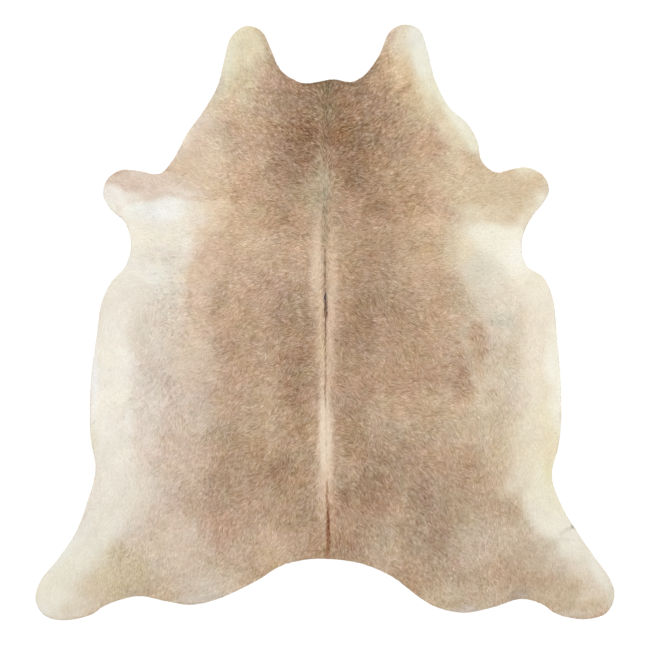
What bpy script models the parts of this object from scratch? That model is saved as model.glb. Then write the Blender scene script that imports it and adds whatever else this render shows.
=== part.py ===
"""Cowhide rug, laid out on a floor with its hair side up.

The rug is one whole hide: back, neck, cheeks, forelegs, bellies and shanks, cut
round by hand. +Z is up, +Y points to the neck, and +X is to the right of someone
who looks down on the coat with the neck away from them. The origin is on the
floor, under the middle of the hide. The model is in metres, and the tables and
the sizes below are in millimetres.
"""
import math

import bmesh
import bpy
import numpy as np
from mathutils import Vector, geometry

MM = 0.001

# The leather and its coat, pressed down, measured together
BACK_THICKNESS = 5.0
EDGE_THICKNESS = 3.0
THINNING_REACH = 180.0

# The low ridge of stiffer hair along the backbone
SPINE_X = 8.0
SPINE_HEIGHT = 1.5
SPINE_HALF_WIDTH = 16.0
SPINE_NECK_Y = 800.0
SPINE_TAIL_Y = -780.0

# Spacing of the points that shape the surface
EDGE_STEP = 17.0
EDGE_CLEARANCE = 9.0
FINE_STEP = 31.0
FINE_REACH = 120.0
SPINE_STEP = 45.0
SPINE_ROWS = (-1.6, -0.7, 0.0, 0.7, 1.6)
SPINE_CLEARANCE = 2.2

# Ripples lower than this lie flat on the floor
FLATTENED = 0.35

COAT_COLOR = (0.52, 0.40, 0.28, 1.0)
COAT_ROUGHNESS = 0.8

# Landmarks of the cut edge, going round from the neck: name, x, y
LANDMARKS = (
    ("neck notch, middle", 30, 855),
    ("neck notch, left dip", -80, 842),
    ("left cheek, inner root", -157, 888),
    ("left cheek, inner side", -190, 957),
    ("left cheek, inner shoulder", -225, 1025),
    ("left cheek, tip", -280, 1042),
    ("left cheek, outer shoulder", -330, 1005),
    ("left cheek, outer side", -355, 925),
    ("left neck, upper", -375, 840),
    ("left neck, lower", -420, 755),
    ("left shoulder", -485, 665),
    ("left foreleg, upper root", -540, 565),
    ("left foreleg, upper hollow", -585, 522),
    ("left foreleg, upper side", -655, 533),
    ("left foreleg, upper corner", -720, 535),
    ("left foreleg, upper tip", -765, 505),
    ("left foreleg, tip", -780, 450),
    ("left foreleg, lower tip", -755, 400),
    ("left armpit, upper", -705, 355),
    ("left armpit, hollow", -683, 270),
    ("left armpit, lower", -705, 195),
    ("left belly, front corner", -750, 145),
    ("left belly, front", -785, 70),
    ("left belly, upper middle", -805, -55),
    ("left belly, middle", -825, -220),
    ("left belly, rear", -825, -395),
    ("left flank hollow", -808, -520),
    ("left thigh, front", -835, -625),
    ("left thigh", -873, -730),
    ("left shank, front", -943, -835),
    ("left shank, front tip", -1002, -910),
    ("left shank, tip", -1018, -975),
    ("left shank, lower tip", -990, -1028),
    ("left shank, heel", -930, -1047),
    ("left shank, rear", -825, -1028),
    ("left hock, approach", -775, -995),
    ("left hock hollow", -660, -962),
    ("left buttock, outer side", -560, -980),
    ("left buttock, crown", -480, -992),
    ("left buttock, inner side", -387, -975),
    ("left tail notch, foot", -245, -910),
    ("left tail notch, side", -155, -855),
    ("left tail notch, shoulder", -90, -837),
    ("tail notch, crown", 5, -831),
    ("right tail notch, shoulder", 135, -850),
    ("right tail notch, side", 240, -897),
    ("right tail notch, foot", 335, -970),
    ("right buttock, inner side", 395, -1002),
    ("right buttock, crown", 480, -1020),
    ("right buttock, outer side", 587, -1002),
    ("right hock hollow", 690, -972),
    ("right hock, approach", 762, -990),
    ("right shank, rear", 815, -1025),
    ("right shank, heel", 925, -1042),
    ("right shank, lower tip", 990, -1020),
    ("right shank, tip", 1016, -957),
    ("right shank, front tip", 998, -898),
    ("right shank, front", 940, -815),
    ("right thigh", 876, -722),
    ("right thigh, front", 825, -632),
    ("right flank hollow", 796, -540),
    ("right belly, rear", 820, -430),
    ("right belly, middle", 830, -275),
    ("right belly, upper middle", 815, -60),
    ("right belly, front", 800, 80),
    ("right belly, front corner", 765, 160),
    ("right armpit, lower", 707, 200),
    ("right armpit, hollow", 690, 282),
    ("right armpit, upper", 718, 360),
    ("right foreleg, lower tip", 770, 428),
    ("right foreleg, tip", 786, 467),
    ("right foreleg, upper tip", 765, 517),
    ("right foreleg, upper corner", 705, 546),
    ("right foreleg, upper side", 650, 537),
    ("right foreleg, upper hollow", 600, 527),
    ("right foreleg, upper root", 550, 567),
    ("right shoulder, lower", 535, 635),
    ("right shoulder", 498, 700),
    ("right neck, lower", 437, 755),
    ("right neck, upper", 386, 850),
    ("right cheek, outer side", 360, 950),
    ("right cheek, outer shoulder", 330, 1030),
    ("right cheek, tip", 280, 1047),
    ("right cheek, inner shoulder", 229, 1025),
    ("right cheek, inner side", 188, 937),
    ("right cheek, inner root", 133, 866),
    ("neck notch, right dip", 88, 845),
)

# Soft ripples where the cut edge lifts off the floor.
# Columns: name, x and y of the crest, the way it runs in degrees, half its
# length, half its width, height
RIPPLES = (
    ("left cheek", -268, 1000, 78, 90, 38, 4.0),
    ("right cheek", 300, 985, 104, 95, 40, 5.0),
    ("neck notch", 60, 850, 84, 60, 34, 3.0),
    ("left neck", -425, 770, 35, 80, 45, 3.5),
    ("right shoulder", 505, 680, 150, 75, 42, 4.0),
    ("left foreleg, tip", -775, 470, 8, 85, 40, 6.0),
    ("left foreleg, lower side", -715, 375, 50, 55, 34, 3.5),
    ("right foreleg, tip", 780, 480, 172, 85, 42, 6.5),
    ("right armpit", 692, 300, 10, 60, 36, 3.0),
    ("left belly, front", -790, 60, 12, 90, 45, 5.5),
    ("left belly, middle", -822, -170, 4, 75, 48, 4.0),
    ("left belly, rear", -828, -400, -8, 95, 52, 6.5),
    ("left thigh", -868, -700, -28, 90, 44, 5.0),
    ("left shank", -1005, -965, 30, 95, 46, 6.0),
    ("left hock", -700, -965, 82, 60, 40, 3.0),
    ("left buttock", -450, -985, 100, 70, 46, 3.5),
    ("right belly, front", 800, 90, 165, 85, 42, 5.0),
    ("right belly, middle", 826, -140, 178, 80, 50, 4.5),
    ("right belly, rear", 828, -370, 188, 95, 46, 6.0),
    ("right flank", 800, -560, 200, 70, 40, 4.0),
    ("right thigh crease", 872, -728, 208, 75, 22, 6.5),
    ("right shank", 1008, -950, 150, 90, 46, 6.5),
    ("right heel", 880, -1035, 100, 70, 40, 4.0),
    ("right buttock", 520, -1015, 84, 75, 48, 4.0),
    ("tail notch", -120, -845, 100, 60, 38, 3.0),
)


def clear_scene():
    for item in list(bpy.data.objects):
        bpy.data.objects.remove(item, do_unlink=True)


def rounded_handles(before, start, end, after):
    """Bezier handles of the stretch from start to end of a curve through all four points."""
    d1 = math.sqrt((start - before).length)
    d2 = math.sqrt((end - start).length)
    d3 = math.sqrt((after - end).length)
    leaving = d1 * d1 * end - d2 * d2 * before + (2 * d1 * d1 + 3 * d1 * d2 + d2 * d2) * start
    arriving = d3 * d3 * start - d2 * d2 * after + (2 * d3 * d3 + 3 * d3 * d2 + d2 * d2) * end
    return leaving / (3 * d1 * (d1 + d2)), arriving / (3 * d3 * (d3 + d2))


def cut_edge():
    """Points along the smooth closed edge through the landmarks, centred on the origin."""
    knots = [Vector((x, y)) for _, x, y in LANDMARKS]
    points = []
    for i, start in enumerate(knots):
        end = knots[(i + 1) % len(knots)]
        after = knots[(i + 2) % len(knots)]
        leaving, arriving = rounded_handles(knots[i - 1], start, end, after)
        pieces = max(2, round((end - start).length / EDGE_STEP))
        stretch = geometry.interpolate_bezier(start, leaving, arriving, end, pieces + 1)
        points.extend((point.x, point.y) for point in stretch[:-1])
    edge = np.array(points)
    return edge - (edge.min(axis=0) + edge.max(axis=0)) / 2


def edge_distance(points, edge):
    """Distance from each point to the cut edge, positive inside the hide."""
    starts = edge
    runs = np.roll(edge, -1, axis=0) - edge
    nearest = np.full(len(points), np.inf)
    crossings = np.zeros(len(points), dtype=int)
    for start, run in zip(starts, runs):
        away = points - start
        along = np.clip(away @ run / (run @ run), 0.0, 1.0)
        gap = np.linalg.norm(away - along[:, None] * run, axis=1)
        nearest = np.minimum(nearest, gap)
        if run[1] != 0.0:
            height = away[:, 1] / run[1]
            spans = (height >= 0.0) & (height < 1.0)
            crossings += spans & (away[:, 0] < height * run[0])
    return np.where(crossings % 2 == 1, nearest, -nearest)


def lattice():
    """A triangular lattice over the whole hide, and which of its points stay where it is open."""
    row_height = FINE_STEP * math.sqrt(3) / 2
    farthest = max(max(abs(x), abs(y)) for _, x, y in LANDMARKS)
    count = int(farthest / row_height) + 1
    points = []
    kept_in_the_middle = []
    for row in range(-count, count + 1):
        for column in range(-count, count + 1):
            points.append(((column + (row % 2) / 2) * FINE_STEP, row * row_height))
            kept_in_the_middle.append(row % 2 == 0 and (column + row // 2) % 2 == 0)
    return np.array(points), np.array(kept_in_the_middle)


def inner_points(edge):
    """Lattice points inside the edge, close together near it and open in the middle."""
    points, kept_in_the_middle = lattice()
    depth = edge_distance(points, edge)
    inside = depth > EDGE_CLEARANCE
    off_spine = np.abs(points[:, 0] - SPINE_X) > SPINE_CLEARANCE * SPINE_HALF_WIDTH
    needed = (depth < FINE_REACH) | kept_in_the_middle
    return np.vstack([points[inside & off_spine & needed], spine_points()])


def spine_points():
    """Rows of points along the ridge of the spine."""
    steps = round((SPINE_NECK_Y - SPINE_TAIL_Y) / SPINE_STEP)
    across = [SPINE_X + SPINE_HALF_WIDTH * row for row in SPINE_ROWS]
    along = np.linspace(SPINE_TAIL_Y, SPINE_NECK_Y, steps + 1)
    return np.array([(x, y) for y in along for x in across])


def smooth_step(value):
    t = np.clip(value, 0.0, 1.0)
    return t * t * (3 - 2 * t)


def lift(points):
    """Height of the underside above the floor, from the ripples."""
    total = np.zeros(len(points))
    for _, x, y, heading, half_length, half_width, height in RIPPLES:
        turn = math.radians(heading)
        away = points - (x, y)
        along = away[:, 0] * math.cos(turn) + away[:, 1] * math.sin(turn)
        across = away[:, 1] * math.cos(turn) - away[:, 0] * math.sin(turn)
        total += height * np.exp(-(along / half_length) ** 2 - (across / half_width) ** 2)
    return np.maximum(total - FLATTENED, 0.0)


def thickness(points, edge):
    """Leather and coat together: thinner towards the edge, with the ridge of the spine."""
    depth = np.maximum(edge_distance(points, edge), 0.0)
    body = EDGE_THICKNESS + (BACK_THICKNESS - EDGE_THICKNESS) * smooth_step(depth / THINNING_REACH)
    ridge = SPINE_HEIGHT * np.exp(-((points[:, 0] - SPINE_X) / SPINE_HALF_WIDTH) ** 2)
    return body + ridge * smooth_step(depth / THINNING_REACH)


def flat_pattern(edge):
    """The hide as flat triangles: its points and its faces."""
    points = np.vstack([edge, inner_points(edge)])
    rim = [(i, (i + 1) % len(edge)) for i in range(len(edge))]
    inside_the_rim = 1
    flat, _, triangles, *_ = geometry.delaunay_2d_cdt(
        [Vector(point) for point in points], rim, [], inside_the_rim, 0.001)
    return np.array([tuple(point) for point in flat]), triangles


def hide_mesh():
    """The closed solid: the underside, extruded up to the surface of the coat."""
    edge = cut_edge()
    flat, triangles = flat_pattern(edge)
    shape = bmesh.new()
    rise = shape.verts.layers.float.new("thickness")
    under = []
    for (x, y), floor_gap, thick in zip(flat, lift(flat), thickness(flat, edge)):
        vert = shape.verts.new((x, y, floor_gap))
        vert[rise] = thick
        under.append(vert)
    for triangle in triangles:
        shape.faces.new([under[i] for i in triangle])
    extruded = bmesh.ops.extrude_face_region(shape, geom=shape.faces[:])
    for item in extruded["geom"]:
        if isinstance(item, bmesh.types.BMVert):
            item.co.z += item[rise]
    bmesh.ops.triangulate(shape, faces=shape.faces[:])
    bmesh.ops.recalc_face_normals(shape, faces=shape.faces[:])
    bmesh.ops.scale(shape, vec=(MM, MM, MM), verts=shape.verts[:])
    mesh = bpy.data.meshes.new("hide")
    shape.to_mesh(mesh)
    shape.free()
    return mesh


def coat_material():
    material = bpy.data.materials.new("cowhide")
    material.use_nodes = True
    surface = material.node_tree.nodes["Principled BSDF"]
    surface.inputs["Base Color"].default_value = COAT_COLOR
    surface.inputs["Roughness"].default_value = COAT_ROUGHNESS
    surface.inputs["Metallic"].default_value = 0.0
    return material


def make_hide():
    mesh = hide_mesh()
    mesh.materials.append(coat_material())
    hide = bpy.data.objects.new("hide", mesh)
    bpy.context.scene.collection.objects.link(hide)


clear_scene()
make_hide()
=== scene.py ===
import math

import bmesh
import bpy
import numpy as np
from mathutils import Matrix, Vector
from mathutils.bvhtree import BVHTree


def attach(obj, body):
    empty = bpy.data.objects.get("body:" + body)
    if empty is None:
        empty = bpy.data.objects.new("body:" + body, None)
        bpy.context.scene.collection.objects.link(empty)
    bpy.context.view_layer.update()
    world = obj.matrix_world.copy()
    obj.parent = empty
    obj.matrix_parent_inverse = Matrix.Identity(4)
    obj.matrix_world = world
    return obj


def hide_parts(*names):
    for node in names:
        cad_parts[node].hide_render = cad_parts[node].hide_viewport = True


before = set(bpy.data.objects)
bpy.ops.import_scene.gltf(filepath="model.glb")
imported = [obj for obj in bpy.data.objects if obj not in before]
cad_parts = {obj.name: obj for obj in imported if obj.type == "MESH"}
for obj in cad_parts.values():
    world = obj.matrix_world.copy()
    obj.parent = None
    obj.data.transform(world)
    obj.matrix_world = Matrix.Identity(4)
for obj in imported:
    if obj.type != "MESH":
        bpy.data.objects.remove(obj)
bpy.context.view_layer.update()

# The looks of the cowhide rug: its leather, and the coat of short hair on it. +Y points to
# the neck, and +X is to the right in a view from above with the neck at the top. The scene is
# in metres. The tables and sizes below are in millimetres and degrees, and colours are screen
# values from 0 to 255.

MM = 0.001
SEED = 7

# Past this height of its normal, a face looks up or down
FACING = 0.5

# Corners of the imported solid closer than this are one
WELD = 0.001

# The grid that holds the distance from the cut edge: its step, the room round the hide, and
# how near its last line it is read, in steps
GRID_STEP = 4.0
GRID_MARGIN = 24.0
GRID_END = 1.001

# Noise: cells across before it repeats, and how far each seed moves it, in cells
NOISE_CELLS = 256
NOISE_SHIFT = (0.37, 0.61)

# Each noise has seeds of its own: what pushes the patches across and up, turns the curls, and
# makes the clouds lighter, redder and greener
ACROSS_SEED = 1
UP_SEED = 3
CURL_SEED = 11
LIGHT_SEED = 30
RED_SEED = 40
GREEN_SEED = 50

# The leather takes this share of the hide's thickness, and the hair takes the rest
LEATHER_SHARE = 0.4

# The leather is divided at this step, except nearer to a corner than the snap, and then eased
LEATHER_STEP = 12.0
LEATHER_SNAP = 0.3
LEATHER_SMOOTHING = 5
LEATHER_EASE = 0.5

# Giving the leather its thickness leaves the faces of its edge in a new order each run, so the
# faces are sorted along this slanting line
FACE_ORDER = Vector((1.0, math.sqrt(2), math.pi))

# Locks of hair: where they are rooted, how they lie and how large they are
ROOT_SPACING = 3.85
ROOT_JITTER = 0.42
ROOT_SINK = 0.3
EDGE_INSET = 0.6
LOCK_WIDTH = 2.9
LOCK_CREST = 0.38
CREST_AT = 0.35
COLOR_AT = 0.6
CLUMP_CELLS = 512
CLUMP_SPACING = 7.5
CLUMP_JITTER = 0.45
CLUMP_PULL = 0.35
CLUMP_TURN = 13.0
CLUMP_LEAN = 0.5
LOCK_TURN = 8.0
LOCK_LENGTHS = (0.8, 1.15)
LOCK_WIDTHS = (0.8, 1.2)
OVERHANG = 3.0
OVERHANG_RARITY = 1.5
PULL_BACK = 1.2
PULL_BACK_TIMES = 3
SHORTEST = 4.0

# How high the tip of a lock stands in the room above the leather, as shares of that room
TIP_HEIGHTS = (0.55, 1.05)
TIP_ROOM = 0.8
FULL_LENGTH = 16.0
SHORT_STAND = 0.3
FLAT_STAND = 0.5

# Share of a lock's own colour at its two root corners, its crest and its tip
OWN_COLOR_SHARES = (0.25, 0.25, 0.9, 1.0)

# Free border round each lock's cell in the map of the coat
CELL_MARGIN = 0.1

# The line of the spine, where the coat parts
SPINE_X = 5.0
SPINE_HEADING = 80.0
PARTING_HALF_WIDTH = 32.0
PARTING_STEEPNESS = 1.4
PARTING_CALM = 0.8
WHORL_Y = 265.0
WHORL_REACH = 20.0
WHORL_TURN = 65.0
WHORL_RADIUS = 26.0

# How the hair lies on the right half: y, heading of the hair from +X, length, curl
LIE_OF_THE_HAIR = (
    (1050, 52, 11, 10),
    (850, 43, 12, 12),
    (710, 33, 13, 15),
    (570, 22, 14, 24),
    (430, 8, 15, 28),
    (250, 0, 15, 32),
    (80, -15, 15, 40),
    (-100, -30, 15, 45),
    (-270, -42, 15, 42),
    (-520, -48, 14, 34),
    (-760, -55, 13, 24),
    (-950, -42, 12, 16),
)
BELLY_HEADING = -75.0
BELLY_FROM_X = 450.0
BELLY_TO_X = 620.0
BELLY_TOP_Y = 150.0
BELLY_FULL_Y = 20.0
BELLY_CALM = 0.1

# Curls of the coat, wide ones and small ones: size, share of the turn
CURLS = ((62, 1.1), (24, 0.9))

# Where the hair curls less, its clumps turn less: least share, and the curl of a full turn
CALM_CLUMP = 0.35
FULL_CURL = 20.0

# Patches of colour, each laid over the ones before it: name, middle x, y, half width, half
# height, turn, softness of the edge and strength in hundredths, red, green, blue
PATCHES = (
    ("left shoulder", -315, 415, 195, 300, 0, 70, 90, 210, 184, 156),
    ("right shoulder", 375, 430, 150, 315, 0, 70, 90, 205, 177, 147),
    ("rump", 20, -555, 530, 300, 0, 80, 80, 180, 151, 123),
    ("left mid rump", -280, -785, 210, 210, 0, 80, 60, 194, 168, 143),
    ("right rump", 405, -835, 385, 195, 0, 80, 70, 188, 165, 140),
    ("left flank", -545, -275, 170, 420, 0, 60, 90, 212, 193, 177),
    ("left hind quarter", -565, -820, 210, 210, 0, 70, 85, 208, 189, 168),
    ("right flank", 590, -95, 120, 315, 0, 60, 90, 214, 201, 180),
    ("right flank low", 635, -345, 100, 210, 0, 70, 80, 210, 193, 168),
    ("neck", 10, 695, 230, 220, 0, 70, 95, 166, 137, 110),
    ("left neck", -300, 695, 120, 160, -10, 70, 90, 206, 181, 154),
    ("left cream", -600, 275, 160, 195, 0, 35, 95, 235, 230, 217),
    ("left cream rear", -575, 85, 95, 230, 0, 30, 85, 222, 214, 200),
    ("left belly edge", -750, -200, 90, 455, -2, 50, 95, 236, 232, 220),
    ("left belly front edge", -730, 60, 100, 125, -15, 60, 80, 230, 223, 211),
    ("left thigh", -750, -660, 135, 255, -15, 50, 90, 230, 224, 212),
    ("left shank outer", -925, -900, 170, 105, 40, 50, 95, 227, 222, 206),
    ("left shank", -750, -880, 125, 90, 25, 60, 85, 208, 191, 161),
    ("left shank heel", -895, -1000, 105, 40, 0, 70, 80, 223, 214, 195),
    ("right cream", 600, 255, 170, 135, 0, 35, 95, 238, 234, 217),
    ("right belly edge", 775, -130, 85, 350, 2, 50, 95, 232, 222, 204),
    ("right belly rear edge", 790, -415, 75, 245, 0, 50, 90, 230, 219, 194),
    ("right thigh", 800, -640, 105, 160, 30, 50, 95, 231, 225, 204),
    ("right shank outer", 905, -795, 125, 70, -55, 50, 95, 231, 226, 210),
    ("right cream rear", 740, 130, 120, 85, 0, 60, 90, 233, 226, 207),
    ("left foreleg", -615, 485, 185, 55, -3, 30, 95, 218, 200, 183),
    ("left foreleg underside", -750, 435, 65, 40, -20, 40, 90, 237, 233, 225),
    ("left armpit upper", -565, 390, 150, 40, 5, 40, 90, 236, 235, 227),
    ("right foreleg", 635, 465, 185, 100, 0, 40, 95, 213, 193, 162),
    ("right foreleg edge", 760, 395, 55, 55, -30, 45, 90, 235, 229, 212),
    ("left cheek", -300, 950, 85, 150, -8, 45, 95, 222, 211, 181),
    ("left cheek outer edge", -355, 870, 35, 160, -12, 70, 80, 226, 221, 196),
    ("left neck pale edge", -465, 655, 40, 150, -38, 60, 90, 222, 204, 184),
    ("right cheek", 270, 930, 70, 120, 0, 50, 90, 221, 200, 168),
    ("right cheek outer", 350, 940, 45, 175, 8, 55, 95, 232, 232, 218),
    ("right cheek inner", 200, 905, 40, 105, -20, 60, 80, 193, 165, 135),
    ("right neck pale edge", 485, 710, 40, 190, 33, 45, 95, 232, 229, 208),
    ("right cheek gold", 300, 820, 45, 40, 0, 80, 80, 212, 184, 146),
    ("right neck olive", 360, 760, 55, 50, 0, 80, 70, 213, 197, 167),
    ("neck notch", 0, 825, 160, 40, 0, 70, 80, 152, 125, 99),
    ("neck left brown", -75, 630, 50, 85, 0, 80, 80, 148, 115, 87),
    ("neck rust", 65, 685, 65, 40, 0, 80, 85, 147, 113, 82),
    ("neck right dark", 115, 635, 65, 50, 0, 80, 70, 148, 117, 90),
    ("neck right brown", 100, 520, 50, 55, 0, 80, 75, 151, 123, 95),
    ("neck right middle", 210, 605, 55, 75, 0, 80, 70, 164, 136, 108),
    ("neck left soft", -150, 555, 55, 90, 0, 90, 60, 170, 140, 116),
    ("spine olive", 5, 760, 35, 70, 0, 80, 70, 142, 121, 94),
    ("left tan edge front", -400, 205, 55, 105, 0, 80, 75, 219, 192, 165),
    ("left tan edge middle", -440, 10, 50, 175, 0, 80, 70, 206, 181, 158),
    ("right finger", 540, -80, 25, 105, 0, 60, 70, 199, 171, 138),
    ("right finger lower", 480, -215, 35, 105, 0, 60, 85, 184, 154, 124),
    ("right flank warm front", 645, 25, 55, 75, 0, 70, 70, 226, 217, 199),
    ("rump grey", 615, -760, 120, 85, 0, 70, 80, 203, 186, 162),
    ("right shank tip", 965, -920, 70, 70, 0, 60, 90, 222, 212, 195),
    ("left buttock", -360, -935, 120, 70, 0, 60, 85, 209, 193, 172),
    ("left rump pink", -510, -770, 90, 105, 0, 80, 80, 218, 199, 181),
    ("right belly rim", 815, -210, 30, 230, 2, 70, 90, 240, 237, 225),
    ("left back ochre", -220, 380, 35, 40, 0, 80, 70, 186, 156, 122),
    ("left back dark", -160, 370, 40, 50, 0, 80, 60, 172, 144, 117),
    ("left back mottle", -125, 25, 55, 75, 0, 80, 45, 170, 143, 117),
    ("right back mottle", 125, 35, 50, 90, 0, 80, 70, 164, 135, 107),
    ("left back middle", -95, -165, 70, 90, 0, 80, 70, 164, 133, 106),
    ("right back middle", 110, -80, 50, 85, 0, 80, 60, 167, 137, 111),
    ("left back side rear", -300, -485, 65, 75, 0, 80, 50, 174, 144, 116),
    ("right back rear", 180, -575, 70, 85, 0, 80, 55, 160, 130, 101),
    ("right tail foot", 280, -900, 75, 50, 0, 80, 60, 180, 152, 126),
    ("left rump brown", -455, -655, 50, 55, 0, 80, 50, 190, 164, 140),
    ("left rump light", -190, -795, 70, 75, 0, 80, 85, 208, 183, 155),
    ("right rump light", 230, -785, 75, 55, 0, 80, 70, 195, 171, 144),
    ("right back light", 370, -315, 55, 65, 0, 80, 70, 199, 170, 139),
    ("right back pale streak", 210, -365, 50, 75, 0, 80, 65, 192, 168, 142),
    ("right flank hind", 635, -555, 75, 85, 0, 70, 70, 212, 194, 169),
    ("right shank inner", 825, -835, 90, 70, -20, 70, 85, 216, 205, 186),
    ("right shank low", 825, -970, 100, 55, 0, 70, 92, 202, 183, 156),
    ("right buttock low", 550, -975, 160, 55, 0, 70, 92, 200, 182, 158),
    ("left shoulder pale", -445, 545, 75, 65, 0, 80, 80, 221, 201, 178),
    ("left cream edge", -420, 355, 55, 70, 0, 80, 80, 227, 208, 181),
    ("right cream edge", 465, 265, 55, 75, 0, 80, 80, 218, 200, 171),
    ("right cream grey", 565, 165, 65, 65, 0, 80, 60, 216, 208, 189),
    ("right cream low", 575, 70, 55, 50, 0, 80, 75, 222, 213, 195),
    ("right cheek top", 270, 1015, 50, 55, 0, 70, 85, 226, 217, 195),
    ("right back outer", 455, -380, 55, 100, 0, 80, 70, 203, 180, 151),
    ("left belly inner", -645, -365, 65, 100, 0, 80, 80, 226, 216, 202),
    ("left flank grey", -630, -245, 50, 105, 0, 80, 85, 216, 205, 193),
    ("right shoulder brown", 255, 445, 85, 75, 0, 80, 65, 182, 152, 122),
    ("right back front", 210, 190, 105, 125, 0, 80, 70, 175, 147, 118),
    ("right back front outer", 265, 60, 75, 85, 0, 80, 70, 174, 147, 118),
    ("left cheek low", -280, 855, 40, 50, 0, 80, 75, 211, 190, 158),
    ("notch left side", -150, 855, 50, 35, 0, 80, 80, 173, 144, 118),
    ("right belly inner", 700, -420, 50, 120, 0, 80, 85, 227, 217, 195),
    ("tail right side", 45, -800, 55, 35, 0, 80, 80, 165, 133, 102),
    ("right rump brown", 360, -725, 75, 125, 0, 80, 65, 172, 144, 116),
    ("left shank tan", -685, -840, 55, 65, 0, 80, 70, 199, 179, 151),
    ("left rump front light", -220, -610, 50, 65, 0, 80, 60, 195, 169, 141),
    ("left back light", -265, -380, 105, 85, 0, 80, 60, 192, 166, 138),
    ("left rump side", -385, -590, 50, 65, 0, 80, 80, 178, 149, 122),
    ("left side brown", -355, -120, 40, 105, 0, 70, 70, 187, 158, 130),
    ("right neck light", 250, 670, 50, 85, 0, 80, 60, 192, 166, 135),
    ("right shoulder pale", 445, 485, 55, 50, 0, 80, 60, 217, 198, 166),
    ("right rump rear", 755, -820, 90, 55, 0, 80, 70, 200, 182, 158),
    ("right rump pale", 730, -730, 65, 55, 0, 80, 70, 209, 195, 174),
    ("left shank front", -850, -820, 85, 50, 30, 80, 60, 232, 226, 208),
    ("right neck pale inner", 445, 675, 35, 85, 28, 70, 85, 226, 214, 186),
    ("right neck upper light", 360, 810, 40, 50, 0, 80, 60, 228, 218, 192),
    ("right thigh rear", 825, -755, 75, 75, 0, 70, 90, 233, 228, 214),
    ("left cheek top", -280, 995, 55, 55, 0, 70, 80, 225, 214, 186),
    ("left shank tip", -975, -970, 70, 55, 0, 70, 85, 231, 227, 211),
    ("left thigh rear", -850, -800, 75, 65, 30, 70, 85, 227, 223, 208),
    ("left rump tan", -370, -730, 55, 55, 0, 80, 65, 186, 156, 132),
    ("right rump side", 550, -655, 65, 65, 0, 80, 75, 199, 176, 151),
    ("right rump low side", 545, -785, 75, 85, 0, 80, 70, 206, 186, 164),
    ("left neck light", -405, 630, 70, 50, 0, 80, 80, 218, 197, 173),
    ("left flank tan", -550, -5, 55, 65, 0, 80, 60, 213, 197, 179),
    ("right armpit upper", 545, 395, 120, 30, 0, 70, 85, 223, 208, 180),
    ("left flank brown tan", -470, -160, 65, 90, 0, 80, 60, 214, 195, 174),
    ("left side tan", -355, -330, 55, 70, 0, 80, 80, 200, 174, 147),
    ("right back side rear", 455, -505, 50, 65, 0, 80, 75, 194, 169, 140),
    ("right shank heel", 965, -995, 60, 40, 0, 70, 85, 219, 206, 184),
    ("left foreleg lower edge", -670, 445, 40, 20, 0, 70, 75, 235, 230, 219),
    ("left foreleg inner light", -490, 455, 45, 20, 0, 70, 75, 233, 224, 210),
    ("left cream edge upper", -350, 405, 40, 40, 0, 80, 75, 229, 208, 184),
    ("right side front", 325, 225, 65, 100, 0, 80, 70, 206, 180, 150),
    ("left back pale streak", -190, -405, 30, 65, 0, 80, 75, 200, 178, 155),
    ("left back middle light", -170, -175, 30, 40, 0, 80, 70, 197, 173, 146),
    ("right thigh inner", 685, -555, 45, 50, 0, 80, 75, 227, 219, 199),
    ("right foreleg top", 715, 535, 45, 25, 0, 70, 80, 227, 221, 199),
    ("left neck rim", -500, 645, 30, 55, -38, 70, 80, 238, 227, 209),
    ("left buttock grey", -425, -900, 70, 40, 0, 80, 70, 214, 199, 183),
    ("right rump grey", 775, -795, 35, 30, 0, 80, 75, 194, 180, 156),
    ("right thigh inner low", 745, -690, 40, 40, 0, 80, 75, 233, 228, 214),
    ("right neck tan", 305, 725, 40, 40, 0, 80, 75, 211, 190, 160),
    ("left cheek inner light", -215, 875, 30, 65, 0, 80, 65, 209, 184, 157),
    ("left cream low", -600, 180, 60, 40, 0, 80, 75, 238, 236, 227),
    ("right cream outer", 695, 225, 65, 60, 0, 80, 75, 241, 239, 230),
    ("right belly middle", 665, -245, 40, 60, 0, 80, 65, 217, 204, 190),
    ("right back outer light", 490, -380, 30, 40, 0, 80, 70, 210, 191, 160),
    ("loin right of cream", 55, -625, 25, 40, 0, 80, 75, 160, 128, 100),
    ("right shoulder light", 360, 180, 45, 45, 0, 80, 50, 213, 187, 158),
    ("rump left of stripe", -60, -655, 30, 40, 0, 80, 60, 166, 137, 110),
    ("left side grey", -370, 80, 40, 55, 0, 80, 60, 182, 154, 126),
    ("right cheek top outer", 315, 1020, 30, 40, 0, 70, 75, 228, 228, 218),
    ("right rump dark", 340, -605, 30, 50, 0, 80, 70, 160, 127, 99),
    ("left back pale", -220, -320, 30, 40, 0, 80, 60, 199, 174, 148),
    ("right rump pale streak", 275, -695, 30, 40, 0, 80, 50, 192, 165, 138),
    ("left flank grey front", -645, -45, 45, 100, 0, 80, 65, 216, 206, 192),
    ("left thigh tan", -645, -710, 55, 75, 0, 80, 60, 208, 190, 171),
    ("right of loin", 90, -370, 40, 65, 0, 80, 60, 164, 136, 108),
    ("left of loin", -90, -285, 35, 65, 0, 80, 55, 162, 135, 107),
    ("left shoulder warm", -280, 450, 50, 50, 0, 80, 50, 190, 160, 133),
    ("right belly gold rim", 800, -400, 30, 135, 0, 80, 65, 228, 217, 187),
    ("right shank pale middle", 880, -890, 45, 30, 30, 70, 55, 226, 215, 197),
    ("right foreleg cheek side", 465, 570, 50, 30, -20, 70, 65, 221, 203, 173),
    ("left shank gold low", -720, -940, 45, 25, 0, 70, 60, 191, 171, 137),
    ("left of loin light", -280, -420, 40, 170, 0, 80, 45, 199, 173, 147),
    ("right of back light", 180, -280, 40, 45, 0, 80, 50, 201, 178, 151),
    ("right flank light", 455, -280, 45, 50, 0, 80, 50, 212, 188, 159),
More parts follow.
